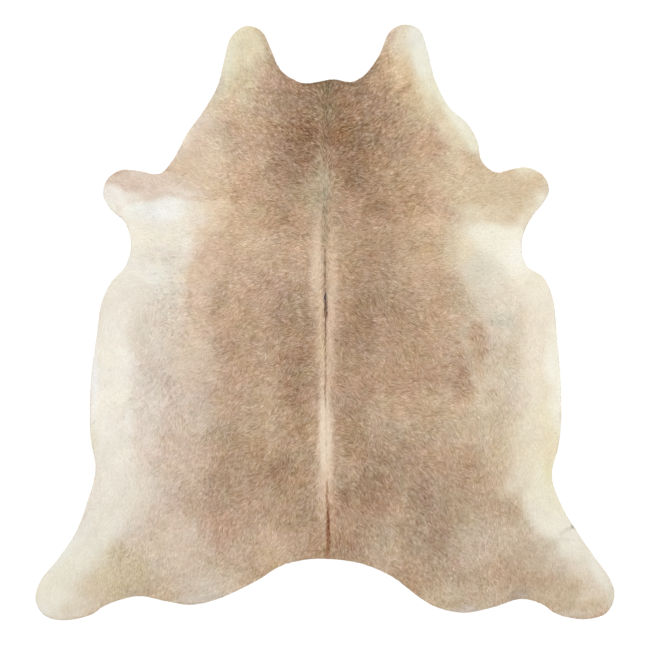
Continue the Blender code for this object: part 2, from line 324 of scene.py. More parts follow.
    ("left flank pale edge", -460, -95, 40, 55, 0, 80, 50, 226, 206, 187),
    ("left side light", -345, 10, 35, 75, 0, 80, 60, 210, 181, 154),
    ("rear of back dark", -155, -520, 30, 65, 0, 80, 60, 157, 128, 102),
    ("left back light spot", -185, -255, 30, 35, 0, 80, 60, 205, 182, 157),
    ("right shoulder pale spot", 385, 345, 35, 35, 0, 80, 60, 224, 200, 170),
    ("right back light spot", 280, -330, 35, 60, 0, 80, 60, 206, 182, 154),
    ("right shoulder front spot", 385, 510, 30, 35, 0, 80, 60, 220, 198, 167),
    ("notch dark right side", 95, 790, 30, 30, 0, 80, 60, 147, 117, 88),
    ("right shoulder dark spot", 185, 415, 30, 35, 0, 80, 60, 155, 129, 97),
    ("right of withers pale", 50, 290, 20, 55, 0, 80, 60, 202, 183, 157),
    ("tail dark right side", 105, -805, 30, 30, 0, 80, 60, 162, 129, 103),
    ("left foreleg rear tan", -560, 440, 30, 20, 0, 80, 60, 220, 205, 190),
    ("left armpit cream edge", -455, 355, 35, 30, 0, 80, 60, 237, 228, 216),
    ("left rump pale spot", -415, -750, 30, 30, 0, 80, 60, 212, 188, 168),
    ("left rump rear light", -305, -835, 30, 30, 0, 80, 60, 210, 185, 163),
    ("left cheek inner tan", -225, 930, 25, 40, 20, 80, 60, 210, 187, 157),
    ("right of loin pale", 40, -475, 20, 50, 0, 80, 60, 196, 180, 155),
    ("right foreleg tan top", 585, 535, 30, 30, 0, 80, 60, 203, 177, 150),
    ("left back dark spot", -70, -25, 30, 35, 0, 80, 60, 159, 130, 103),
    ("left flank pale spot", -510, -160, 30, 40, 0, 80, 60, 225, 213, 196),
)

# Fine marks on top of the patches: along the spine, in the crease of the right thigh and round the
# rim, in the same columns. The marks in the crease are painted shadow, and so are the thin dark lines
# at the rim of the neck notch; the parting lines along the spine are partly painted shade.
FINE_MARKS = (
    ("withers grey band", -21, 425, 32, 170, 0, 70, 75, 190, 170, 145),
    ("withers right band", 32, 375, 25, 140, 0, 70, 50, 189, 166, 139),
    ("withers grey line", 2, 415, 8, 120, 0, 60, 75, 162, 145, 122),
    ("front of back left band", -30, 185, 23, 155, 0, 70, 90, 223, 202, 178),
    ("front of back right band", 26, 170, 19, 140, 0, 70, 85, 216, 191, 164),
    ("front of back halo", 0, 85, 42, 65, 0, 80, 55, 207, 184, 159),
    ("mid back halo", 0, -45, 42, 220, 0, 80, 40, 192, 168, 141),
    ("mid back left band", -16, -10, 14, 125, 0, 60, 90, 216, 191, 161),
    ("mid back right band", 18, -20, 16, 120, 0, 60, 85, 218, 193, 166),
    ("mid back bands", 0, -200, 19, 140, 0, 60, 90, 220, 196, 167),
    ("loin halo", 0, -405, 49, 220, 0, 80, 55, 204, 181, 156),
    ("loin cream band", 1, -415, 25, 175, 0, 60, 95, 229, 212, 189),
    ("loin cream line", -7, -415, 9, 150, 0, 60, 40, 232, 217, 198),
    ("rear of cream band", 2, -585, 26, 75, 0, 70, 90, 222, 197, 170),
    ("peach edge of rump", 30, -665, 12, 100, 0, 70, 70, 196, 164, 134),
    ("left edge of stripe", -14, -655, 14, 75, 0, 70, 50, 200, 172, 142),
    # Partly painted shade: the parting lines are the darker hair of the parting along the spine and
    # the shade in its groove
    ("parting line front", 0, 180, 4, 105, 0, 50, 60, 132, 104, 78),
    ("parting spot", 1, 80, 6, 15, 0, 40, 95, 72, 62, 56),
    ("parting line dark", 1, 45, 6, 40, 0, 40, 85, 92, 66, 46),
    ("parting line middle", 2, -25, 4, 85, 0, 50, 80, 116, 86, 60),
    ("parting line faint", 2, -180, 4, 115, 0, 50, 55, 146, 112, 82),
    ("parting line pale", 4, -415, 3, 150, 0, 50, 35, 200, 172, 146),
    ("parting line loin", 7, -605, 4, 40, 0, 50, 75, 150, 110, 78),
    ("rust stripe", 12, -735, 7, 100, 0, 35, 95, 140, 92, 60),
    # Painted shadow: the next three marks darken the hair in the fold of the right thigh, where its
    # shade falls
    ("shadow in the thigh crease", 855, -730, 32, 5, 30, 70, 50, 196, 190, 172),
    ("shadow in the thigh crease notch", 874, -720, 8, 5, 40, 70, 60, 140, 136, 122),
    ("shadow in the thigh crease faint", 834, -765, 32, 5, 0, 80, 40, 208, 200, 180),
    # Partly painted shadow: the next three thin dark lines are the shade under the raised, thick edge
    # of the neck notch, and partly that dark edge itself
    ("notch rim left", -56, 840, 56, 5, 4, 60, 65, 110, 86, 60),
    ("notch rim middle", 21, 850, 56, 5, 4, 60, 65, 110, 86, 60),
    ("notch rim right", 88, 840, 32, 5, -3, 60, 65, 110, 86, 62),
    ("spine at the notch", 7, 820, 11, 20, 0, 70, 55, 116, 104, 76),
    ("notch rim left arc", -148, 880, 63, 15, -50, 70, 60, 166, 138, 110),
    ("notch rim right arc", 144, 875, 56, 15, 50, 70, 70, 150, 122, 96),
    ("left cheek notch side", -197, 945, 35, 15, -62, 70, 60, 188, 164, 138),
    ("right cheek notch side", 222, 985, 56, 15, 63, 70, 70, 203, 178, 155),
    ("left foreleg corner rim", -756, 410, 32, 15, -50, 50, 85, 238, 236, 226),
    ("left foreleg top rim", -668, 530, 42, 15, -8, 70, 70, 223, 210, 198),
    ("left neck rim", -457, 680, 32, 15, 56, 70, 70, 214, 197, 178),
    ("left neck rim middle", -436, 720, 28, 15, 60, 70, 60, 227, 217, 203),
    ("left neck rim low", -517, 595, 32, 15, 55, 70, 70, 212, 196, 176),
    ("left cheek rim", -376, 830, 49, 20, 75, 70, 85, 205, 196, 175),
    ("right cheek rim", 422, 770, 91, 15, -54, 70, 70, 231, 229, 209),
    ("right foreleg tip rim", 777, 480, 28, 15, -80, 70, 60, 217, 207, 188),
    ("left belly white rim", -814, -190, 14, 140, 0, 70, 85, 237, 236, 234),
    ("left belly rear rim", -814, -410, 14, 40, 0, 70, 70, 227, 219, 200),
    ("right belly rear rim", 784, -520, 18, 45, 0, 70, 60, 223, 213, 177),
    ("left armpit rim", -686, 215, 18, 30, 0, 70, 60, 223, 220, 211),
    ("left hock lower rim", -893, -1030, 49, 15, 12, 70, 85, 220, 210, 194),
    ("left hock corner rim", -960, -1025, 35, 15, -12, 70, 70, 228, 220, 206),
    ("left rear rim", -443, -975, 98, 20, 10, 70, 75, 209, 198, 183),
    ("left rear rim inner", -274, -910, 42, 20, 35, 70, 60, 194, 165, 138),
    ("right rear rim", 485, -1010, 56, 15, 0, 70, 85, 203, 190, 179),
    ("right hock lower rim", 883, -1025, 56, 15, 0, 70, 85, 207, 194, 175),
    ("right hock upper rim", 967, -885, 63, 20, -58, 70, 80, 232, 229, 217),
    ("right hock outer rim", 1006, -970, 35, 15, -85, 70, 75, 219, 212, 194),
    ("right thigh rim", 682, -960, 39, 20, 8, 70, 70, 173, 157, 138),
    ("left thigh hock rim", -904, -795, 120, 20, 52, 70, 60, 232, 231, 221),
    ("left hock tip rim", -988, -1010, 21, 15, -45, 70, 60, 232, 228, 220),
    ("rear rim middle", 88, -825, 56, 15, -8, 70, 60, 166, 138, 112),
    ("rear rim right of middle", 201, -860, 42, 20, -28, 70, 60, 198, 174, 150),
    ("left rear thigh rim", -668, -950, 42, 15, 4, 70, 60, 181, 165, 140),
    ("right foreleg lower rim", 700, 365, 21, 20, 60, 70, 50, 230, 222, 196),
    ("left armpit upper rim", -679, 295, 14, 50, 0, 70, 50, 228, 226, 212),
    ("withers olive line", -2, 295, 11, 85, 0, 70, 55, 174, 155, 127),
    ("right cheek rim low", 475, 700, 56, 20, -52, 70, 60, 235, 234, 219),
    ("left cheek outer rim", -341, 930, 49, 20, 72, 70, 60, 230, 227, 209),
    ("rear rim right end", 454, -995, 32, 15, 0, 70, 60, 188, 167, 141),
    ("right belly middle rim", 809, -95, 18, 120, 0, 70, 50, 230, 226, 208),
    ("right hock tan corner", 932, -995, 39, 20, 10, 70, 60, 199, 177, 149),
    ("right foreleg tan tip", 714, 420, 39, 30, 50, 60, 65, 211, 194, 162),
    ("left shoulder warm edge", -443, 120, 32, 125, 0, 70, 45, 224, 203, 179),
    ("left armpit cream", -556, 295, 49, 40, 0, 80, 50, 238, 231, 216),
    ("right shoulder ticked grey", 538, 190, 46, 60, 0, 80, 50, 211, 203, 183),
    ("right flank grey spot", 626, 5, 46, 25, 0, 70, 60, 202, 195, 174),
    ("right cheek shade line", 267, 810, 42, 10, 40, 70, 55, 178, 152, 122),
    ("neck olive line", 5, 740, 9, 95, 0, 70, 65, 134, 110, 82),
    ("right of withers rust", 56, 665, 28, 25, 0, 80, 40, 148, 108, 70),
    ("right finger lower end", 478, -225, 25, 50, 0, 60, 65, 176, 147, 117),
    ("right flank by the finger", 535, -200, 21, 55, 0, 60, 65, 217, 198, 172),
    ("right finger foot", 556, -95, 18, 30, 0, 60, 50, 191, 160, 129),
    ("right cream front corner", 524, 385, 32, 25, 0, 70, 60, 230, 220, 196),
    ("right cream warm edge", 489, 250, 21, 40, 0, 70, 60, 230, 219, 193),
    ("left cream rear edge", -507, 115, 21, 60, 0, 60, 60, 230, 220, 202),
    ("left belly inner edge", -689, -345, 18, 55, 0, 60, 50, 238, 236, 229),
    ("right cheek low tan", 299, 785, 21, 20, 0, 70, 60, 215, 195, 162),
    ("withers grey fan", -7, 510, 32, 45, 0, 80, 60, 195, 180, 158),
    ("withers left of fan", -53, 445, 25, 50, 0, 80, 50, 201, 180, 151),
    ("withers tip of fan", -18, 610, 14, 30, 0, 70, 55, 178, 157, 130),
    ("spine at the whorl", 2, 675, 18, 25, 0, 70, 50, 138, 110, 80),
    ("left neck beige", -285, 775, 32, 30, 0, 80, 50, 218, 202, 177),
    ("left neck low beige", -338, 735, 28, 20, 0, 80, 50, 217, 198, 172),
    ("left neck rim shade", -369, 770, 42, 15, 60, 70, 60, 207, 185, 156),
    ("mid back pale side", 21, -130, 18, 50, 0, 80, 50, 213, 190, 166),
    ("notch left rim", -109, 840, 32, 15, -30, 70, 50, 186, 160, 134),
)

# Where the coat is more or less mottled, in the same columns, but with two values in place of
# the colour: contrast of the hair, share of its clumps that are ticked
MOTTLED_PATCHES = (
    ("neck", 20, 695, 245, 210, 0, 60, 95, 1.35, 0),
    ("left neck", -305, 710, 120, 160, 0, 60, 95, 1.4, 0.01),
    ("shoulders", 20, 465, 455, 140, 0, 60, 90, 1.08, 0),
    ("left cream", -580, 290, 120, 125, 0, 50, 90, 1.7, 0.01),
    ("left cream rear", -550, 80, 75, 175, 0, 50, 95, 1.7, 0.16),
    ("left flank", -650, -275, 135, 280, 0, 50, 90, 1.4, 0.03),
    ("right cream", 615, 260, 140, 115, 0, 50, 90, 0.5, 0),
    ("right flank", 615, -165, 120, 280, 0, 50, 90, 1.15, 0.02),
    ("right shank", 825, -890, 175, 160, 0, 50, 90, 0.65, 0),
    ("left shank", -860, -940, 175, 125, 0, 50, 90, 0.65, 0),
    ("right foreleg", 650, 465, 125, 85, 0, 50, 90, 0.65, 0),
    ("left foreleg", -670, 475, 125, 55, 0, 50, 90, 0.9, 0),
    ("left cheek", -290, 950, 70, 140, 0, 50, 90, 1.7, 0),
    ("right cheek", 280, 940, 75, 135, 0, 50, 90, 1.3, 0),
    ("back left", -95, -25, 115, 315, 0, 70, 90, 1.12, 0),
    ("rear of back", 0, -520, 245, 125, 0, 70, 90, 1.12, 0),
)

BASE_COLOR = (190, 162, 134)

# Waves that make the edges of the patches uneven: size, push. Fine marks take a share of them.
PATCH_WAVES = ((92, 18.0), (32, 9.0))
FINE_MARK_WAVES = 0.12

# The whole coat gets slightly deeper toward the hocks: y, share of the colours above
TONE = ((1050, 0.995), (100, 1.0), (-1050, 0.976))

# How much red, green and blue add to the brightness
BRIGHTNESS_SHARES = np.array((0.299, 0.587, 0.114))

# Dark hair is mottled and stands up, pale hair is even and lies flat: brightness of the coat,
# spread of its locks, spread of its clouds, height of its crests
MOTTLING = (
    (130, 25.0, 1.0, 1.0),
    (165, 21.5, 1.0, 1.0),
    (185, 16.5, 0.85, 0.8),
    (205, 8.0, 0.5, 0.5),
    (230, 1.0, 0.35, 0.25),
)

# Clouds of lighter and darker hair: size, brightness, redness, greenness
CLOUDS = (
    (190, 4.0, 1.8, 0.7),
    (95, 7.0, 2.9, 1.2),
    (48, 7.5, 2.9, 1.4),
    (24, 9.0, 2.2, 1.3),
    (12, 4.5, 1.9, 1.1),
)

# The shade of a lock: how much comes from its clump and from itself, its darkest and lightest
CLUMP_SHADE = 0.56
LOCK_SHADE = 0.92
DARKEST = -2.4
LIGHTEST = 1.9

# Lighter hair is greyer, and darker hair is warmer: how much of a change each colour takes
LOCK_TINT = np.array((0.93, 1.01, 1.10))
CLOUD_TINT = np.array((0.90, 1.03, 1.12))

# Ticked hair: a share of the clumps is darker than the coat round them
TICK_DEPTH = 22.0

# Finish of the hair, first at the root and then at the tip: painted shade makes the hair darker
# toward the root. A speckle makes it lighter or darker, and so does the fuzz of the skin between the
# roots, whose range keeps the skin in painted shade. Noise keeps to its middle values.
HAIR_PAINTED_SHADE = (0.90, 1.02)
HAIR_ROUGHNESS = (0.78, 0.52)
SPECKLE_SHADE = (0.93, 1.07)
SKIN_FUZZ_AND_PAINTED_SHADE = (0.78, 0.98)
NOISE_MIDDLE = (0.3, 0.7)
NAP_ROUGHNESS = 0.08

# Scale and detail of what is seen close up
SPECKLE = (260.0, 3.0)
FUZZ = (300.0, 4.0)
NAP = (900.0, 3.0)
CLOUD_DETAIL = 8.0
CLOUD_ENDS = (0.32, 0.68)

# Bare leather: name, lightest and darkest colour, scale of its clouds, roughness
SUEDES = (
    ("suede underside", (214, 200, 178), (176, 158, 132), 9.0, 0.88),
    ("cut edge of the leather", (226, 214, 192), (190, 172, 144), 60.0, 0.8),
)

# The coat is made in bands across the hide: name, lowest y
COAT_BANDS = (
    ("coat_neck", 470),
    ("coat_shoulders", 150),
    ("coat_back", -130),
    ("coat_loin", -400),
    ("coat_rump", -680),
    ("coat_hocks", -2000),
)

# Camera straight above the hide, and the studio round it, in metres
CAMERA_HEIGHT = 5.40
CAMERA_Y = -0.0088
LENS = 85.0
SENSOR = 36.0
FLOOR_SIZE = 120.0
FLOOR_DROP = 0.0002
FLOOR_PAINT = (0.9, 0.9, 0.9, 1.0)
FLOOR_ROUGHNESS = 0.9
SKY_LIGHT = 0.45
HORIZON_LIGHT = 1.0
SKY_FADE = 0.35
LIGHT_FROM = (-0.3, 1.6, 7.5)
LIGHT_STRENGTH = 2.36
LIGHT_WIDTH = 29.0


def smooth_step(value):
    inside = np.clip(value, 0.0, 1.0)
    return inside * inside * (3.0 - 2.0 * inside)


def looked_up(rows, place, column):
    """One column of a table, read between its rows."""
    table = np.array(sorted(rows), float)
    return np.interp(place, table[:, 0], table[:, column])


def blended(values, column, row, beside, above, right, top):
    """The value of a grid at a point between the four corners of a cell."""
    low = values[row, column] * (1 - right) + values[row, beside] * right
    high = values[above, column] * (1 - right) + values[above, beside] * right
    return low * (1 - top) + high * top


def noise(x, y, cell, seed):
    """Smooth noise from -1 to 1 with the given cell size."""
    values = np.random.default_rng(seed).uniform(-1.0, 1.0, (NOISE_CELLS, NOISE_CELLS))
    across = x / cell + NOISE_SHIFT[0] * seed
    up = y / cell + NOISE_SHIFT[1] * seed
    column = np.floor(across).astype(int)
    row = np.floor(up).astype(int)
    right = smooth_step(across - column)
    top = smooth_step(up - row)
    column = column % NOISE_CELLS
    row = row % NOISE_CELLS
    beside = (column + 1) % NOISE_CELLS
    above = (row + 1) % NOISE_CELLS
    return blended(values, column, row, beside, above, right, top)


def rim_of(solid):
    """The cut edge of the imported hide, on its underside: its corners in millimetres, in order."""
    shape = bmesh.new()
    shape.from_mesh(solid.data)
    bmesh.ops.remove_doubles(shape, verts=shape.verts[:], dist=WELD * MM)
    shape.normal_update()
    after = {}
    for face in shape.faces:
        if face.normal.z > -FACING:
            continue
        for loop in face.loops:
            beyond = loop.link_loop_radial_next.face
            if beyond.normal.z > -FACING:
                after[loop.vert.index] = loop.link_loop_next.vert.index
    shape.verts.ensure_lookup_table()
    rim = []
    index = next(iter(after))
    while index in after:
        rim.append(tuple(shape.verts[index].co.xy / MM))
        index = after.pop(index)
    shape.free()
    return np.array(rim)


def depth_grid(rim):
    """Distance from the rim on a square grid, positive inside the hide."""
    low = rim.min(axis=0) - GRID_MARGIN
    columns, rows = np.ceil((rim.max(axis=0) + GRID_MARGIN - low) / GRID_STEP).astype(int) + 1
    x, y = np.meshgrid(low[0] + GRID_STEP * np.arange(columns), low[1] + GRID_STEP * np.arange(rows))
    nearest = np.full(x.shape, np.inf)
    inside = np.zeros(x.shape, bool)
    for (ax, ay), (bx, by) in zip(rim, np.roll(rim, -1, axis=0)):
        along_x = bx - ax
        along_y = by - ay
        share = ((x - ax) * along_x + (y - ay) * along_y) / (along_x ** 2 + along_y ** 2)
        share = np.clip(share, 0.0, 1.0)
        away = (x - ax - share * along_x) ** 2 + (y - ay - share * along_y) ** 2
        np.minimum(nearest, away, out=nearest)
        if ay != by:
            crossing = ax + (y - ay) / (by - ay) * along_x
            inside ^= ((ay > y) != (by > y)) & (x < crossing)
    return np.where(inside, 1.0, -1.0) * np.sqrt(nearest), low


def depth_at(grid, x, y):
    """How far points are inside the cut edge."""
    values, low = grid
    across = np.clip((x - low[0]) / GRID_STEP, 0, values.shape[1] - GRID_END)
    up = np.clip((y - low[1]) / GRID_STEP, 0, values.shape[0] - GRID_END)
    column = across.astype(int)
    row = up.astype(int)
    return blended(values, column, row, column + 1, row + 1, across - column, up - row)


def side_of(solid, facing):
    """A search tree of the faces of a solid that look up (1) or down (-1)."""
    points = [vert.co for vert in solid.data.vertices]
    faces = [tuple(face.vertices) for face in solid.data.polygons if face.normal.z * facing > FACING]
    return BVHTree.FromPolygons(points, faces)


def height_on(tree, x, y):
    """Height of a surface above or below a point, or of its nearest place past the edge."""
    hit = tree.ray_cast(Vector((x, y, 1.0)), Vector((0.0, 0.0, -1.0)))[0]
    if hit is None:
        hit = tree.find_nearest(Vector((x, y, 0.0)))[0]
    return hit.z


def heights_on(tree, x, y):
    """Heights of a surface at many points, all in millimetres."""
    return np.array([height_on(tree, a * MM, b * MM) for a, b in zip(x, y)]) / MM


def cut_leather(rim, hide):
    """The leather: cut out flat along the rim, laid on the folds, and given its thickness."""
    sheet = bmesh.new()
    sheet.faces.new([sheet.verts.new((x * MM, y * MM, 0.0)) for x, y in rim])
    for axis in (0, 1):
        across = Vector((1.0 - axis, axis, 0.0))
        first = rim[:, axis].min() + LEATHER_STEP / 2
        for place in np.arange(first, rim[:, axis].max(), LEATHER_STEP):
            everything = sheet.verts[:] + sheet.edges[:] + sheet.faces[:]
            bmesh.ops.bisect_plane(
                sheet, geom=everything, dist=LEATHER_SNAP * MM,
                plane_co=across * (place * MM), plane_no=across)
    floor_side = side_of(hide, -1)
    coat_side = side_of(hide, 1)
    thickness = sheet.verts.layers.float.new("leather thickness")
    for vert in sheet.verts:
        low = height_on(floor_side, vert.co.x, vert.co.y)
        high = height_on(coat_side, vert.co.x, vert.co.y)
        vert.co.z = max(low, 0.0)
        vert[thickness] = LEATHER_SHARE * (high - low)
    for _ in range(LEATHER_SMOOTHING):
        bmesh.ops.smooth_vert(sheet, verts=sheet.verts[:], factor=LEATHER_EASE, use_axis_z=True)
    extruded = bmesh.ops.extrude_face_region(sheet, geom=sheet.faces[:])
    for item in extruded["geom"]:
        if isinstance(item, bmesh.types.BMVert):
            item.co.z += item[thickness]
    bmesh.ops.recalc_face_normals(sheet, faces=sheet.faces[:])
    sheet.faces.sort(key=lambda face: face.calc_center_median().dot(FACE_ORDER))
    return sheet


def waves(x, y, table, seed):
    """Noise of several sizes, added up."""
    return sum(share * noise(x, y, size, seed + number) for number, (size, share) in enumerate(table))


def lay_patches(rows, x, y, values, warp):
    """Lays soft oval patches over each other, their edges made uneven by noise."""
    warped_x = x + warp * waves(x, y, PATCH_WAVES, ACROSS_SEED)
    warped_y = y + warp * waves(x, y, PATCH_WAVES, UP_SEED)
    for _, middle_x, middle_y, half_width, half_height, turn, softness, strength, *patch in rows:
        angle = math.radians(turn)
        blur = softness / 100
        right = warped_x - middle_x
        up = warped_y - middle_y
        along = (right * math.cos(angle) + up * math.sin(angle)) / half_width
        across = (up * math.cos(angle) - right * math.sin(angle)) / half_height
        reach = np.sqrt(along ** 2 + across ** 2)
        share = strength / 100 * smooth_step((1.0 + blur - reach) / (2.0 * blur))
        values = values + share[:, None] * (np.array(patch, float) - values)
    return values


def coat_color(x, y):
    """Colour of the coat at points of the hide, before the mottling of its hair."""
    color = np.tile(np.array(BASE_COLOR, float), (len(x), 1))
    color = lay_patches(PATCHES, x, y, color, 1.0)
    color = lay_patches(FINE_MARKS, x, y, color, FINE_MARK_WAVES)
    return color * looked_up(TONE, y, 1)[:, None]


def brightness(color):
    return color @ BRIGHTNESS_SHARES


def linear(color):
    """Screen values from 0 to 255 as the linear colours of a material."""
    value = np.clip(color, 0.0, 255.0) / 255.0
    return np.where(value <= 0.04045, value / 12.92, ((value + 0.055) / 1.055) ** 2.4)


def lie_of_hair(x, y):
    """Heading, length and curl of the hair: it lies away from the spine, and down the belly."""
    heading, length, curl = (looked_up(LIE_OF_THE_HAIR, y, column) for column in (1, 2, 3))
    aside = np.abs(x - SPINE_X)
    belly = smooth_step((aside - BELLY_FROM_X) / (BELLY_TO_X - BELLY_FROM_X))
    belly = belly * smooth_step((BELLY_TOP_Y - y) / (BELLY_TOP_Y - BELLY_FULL_Y))
    heading = heading + (BELLY_HEADING - heading) * belly
    curl = curl * (1.0 - BELLY_CALM * belly)
    parting = smooth_step((PARTING_HALF_WIDTH - aside) / PARTING_HALF_WIDTH * PARTING_STEEPNESS)
    along_spine = SPINE_HEADING * np.clip((y - WHORL_Y) / WHORL_REACH, -1.0, 1.0)
    heading = heading + (along_spine - heading) * parting
    curl = curl * (1.0 - PARTING_CALM * parting)
    heading = np.where(x < SPINE_X, 180.0 - heading, heading)
    from_whorl = np.hypot(aside, y - WHORL_Y)
    heading = heading + WHORL_TURN * np.exp(-(from_whorl / WHORL_RADIUS) ** 2)
    return heading + curl * waves(x, y, CURLS, CURL_SEED), length, curl


def roots_of_locks(rim, grid):
    """Uneven rows of roots all over the hide, inside its cut edge."""
    chance = np.random.default_rng(SEED)
    low = rim.min(axis=0)
    high = rim.max(axis=0)
    row_height = ROOT_SPACING * math.sqrt(3) / 2
    x, y = np.meshgrid(
        np.arange(low[0], high[0], ROOT_SPACING), np.arange(low[1], high[1], row_height))
    x[1::2] += ROOT_SPACING / 2
    aside, up = chance.uniform(-ROOT_JITTER, ROOT_JITTER, (2, x.size)) * ROOT_SPACING
    x = x.ravel() + aside
    y = y.ravel() + up
    inside = depth_at(grid, x, y) > EDGE_INSET
    return x[inside], y[inside]


def clumps_of(x, y):
    """The clump that each lock belongs to: its middle, and a number that stands for it."""
    chance = np.random.default_rng(SEED + 1)
    shift = chance.uniform(-CLUMP_JITTER, CLUMP_JITTER, (CLUMP_CELLS, CLUMP_CELLS, 2))
    column = np.floor(x / CLUMP_SPACING).astype(int)
    row = np.floor(y / CLUMP_SPACING).astype(int)
    best = np.full(len(x), np.inf)
    middle = np.zeros((len(x), 2))
    number = np.zeros(len(x), int)
    for down in (-1, 0, 1):
        for aside in (-1, 0, 1):
            cell_x = column + aside
            cell_y = row + down
            offset = shift[cell_y % CLUMP_CELLS, cell_x % CLUMP_CELLS]
            spot = (np.stack([cell_x, cell_y], axis=1) + 0.5 + offset) * CLUMP_SPACING
            away = (x - spot[:, 0]) ** 2 + (y - spot[:, 1]) ** 2
            closer = away < best
            best[closer] = away[closer]
            middle[closer] = spot[closer]
            cell_number = (cell_y % CLUMP_CELLS) * CLUMP_CELLS + cell_x % CLUMP_CELLS
            number[closer] = cell_number[closer]
    return middle, number


def lean_locks(x, y, middle, clump_chance, chance, grid):
    """Where the tips of locks lie: they draw together in clumps, and keep to the hide's edge."""
    turn, length, _ = lie_of_hair(x, y)
    clump_x, clump_y = middle.T
    clump_turn, clump_length, clump_curl = lie_of_hair(clump_x, clump_y)
    calm = CALM_CLUMP + (1.0 - CALM_CLUMP) * np.clip(clump_curl / FULL_CURL, 0.0, 1.0)
    own_turn = CLUMP_TURN * calm * clump_chance
    clump_turn = np.radians(clump_turn + own_turn)
    turn = np.radians(turn + LOCK_TURN * chance.normal(0.0, 1.0, len(x)) + CLUMP_LEAN * own_turn)
    length = length * chance.uniform(*LOCK_LENGTHS, len(x))
    tip_x = x + length * np.cos(turn)
    tip_y = y + length * np.sin(turn)
    tip_x += CLUMP_PULL * (clump_x + clump_length * np.cos(clump_turn) - tip_x)
    tip_y += CLUMP_PULL * (clump_y + clump_length * np.sin(clump_turn) - tip_y)
    allowed = OVERHANG * chance.uniform(0.0, 1.0, len(x)) ** OVERHANG_RARITY
    for _ in range(PULL_BACK_TIMES):
        length = np.hypot(tip_x - x, tip_y - y)
        beyond = np.maximum(-depth_at(grid, tip_x, tip_y) - allowed, 0.0)
        kept = np.maximum(length - PULL_BACK * beyond, SHORTEST) / length
        kept = np.where(beyond > 0.0, np.minimum(kept, 1.0), 1.0)
        tip_x = x + kept * (tip_x - x)
        tip_y = y + kept * (tip_y - y)
    return tip_x, tip_y


def lay_locks(rim, grid, leather, hide):
    """Every lock of the coat: its root, tip, width, crest, own colour, and the coat's there."""
    x, y = roots_of_locks(rim, grid)
    count = len(x)
    chance = np.random.default_rng(SEED + 2)
    middle, clump = clumps_of(x, y)
    clumps = CLUMP_CELLS ** 2
    clump_chance = np.random.default_rng(SEED + 3).normal(0.0, 1.0, (clumps, 3))[clump]
    tip_x, tip_y = lean_locks(x, y, middle, clump_chance[:, 0], chance, grid)
    length = np.hypot(tip_x - x, tip_y - y)
    seen_x = x + COLOR_AT * (tip_x - x)
    seen_y = y + COLOR_AT * (tip_y - y)
    coat = coat_color(seen_x, seen_y)
    stand = looked_up(MOTTLING, brightness(coat), 3)
    loose = chance.uniform(*TIP_HEIGHTS, count)
    loose = loose * np.clip(length / FULL_LENGTH, SHORT_STAND, 1.0)
    loose = loose * (FLAT_STAND + (1.0 - FLAT_STAND) * stand)
    under_tip = heights_on(leather, tip_x, tip_y)
    room = heights_on(side_of(hide, 1), tip_x, tip_y) - under_tip
    tip_z = under_tip + np.maximum(room, TIP_ROOM) * loose
    plain = np.tile((1.0, 0.0), (count, 1))
    contrast, ticked = lay_patches(MOTTLED_PATCHES, seen_x, seen_y, plain, 1.0).T
    crest = LOCK_CREST * stand * np.minimum(contrast, 1.0)
    tick = np.random.default_rng(SEED + 4).uniform(0.0, 1.0, clumps)[clump] < ticked
    lock_chance = chance.normal(0.0, 1.0, count)
    color = mottled(coat, seen_x, seen_y, clump_chance[:, 1], lock_chance, contrast)
    color = color - (TICK_DEPTH * tick)[:, None]
    width = LOCK_WIDTH * chance.uniform(*LOCK_WIDTHS, count)
    root = np.stack([x, y, heights_on(leather, x, y) - ROOT_SINK], axis=1)
    tip = np.stack([tip_x, tip_y, tip_z], axis=1)
    return root, tip, width, crest, color, coat


def mottled(color, x, y, clump_chance, lock_chance, contrast):
    """Clouds of lighter, redder and greener hair, and clumps and locks of their own shade."""
    bright = brightness(color)
    fine = contrast * looked_up(MOTTLING, bright, 1)
    wide = contrast * looked_up(MOTTLING, bright, 2)
    for number, (size, light, red, green) in enumerate(CLOUDS):
        shade = light * noise(x, y, size, LIGHT_SEED + number)
        warmth = red * noise(x, y, size, RED_SEED + number)
        leaf = green * noise(x, y, size, GREEN_SEED + number)
        change = np.stack([warmth - leaf, leaf, 0.0 - warmth - leaf], axis=1)
        color = color + wide[:, None] * (shade[:, None] * CLOUD_TINT + change)
    own = np.clip(CLUMP_SHADE * clump_chance + LOCK_SHADE * lock_chance, DARKEST, LIGHTEST)
    return color + (fine * own)[:, None] * LOCK_TINT


def keep_values(mesh, name, kind, field, values):
    """Keeps a value for each corner of a mesh, for its material to read."""
    mesh.attributes.new(name, kind, "POINT").data.foreach_set(field, values.ravel())


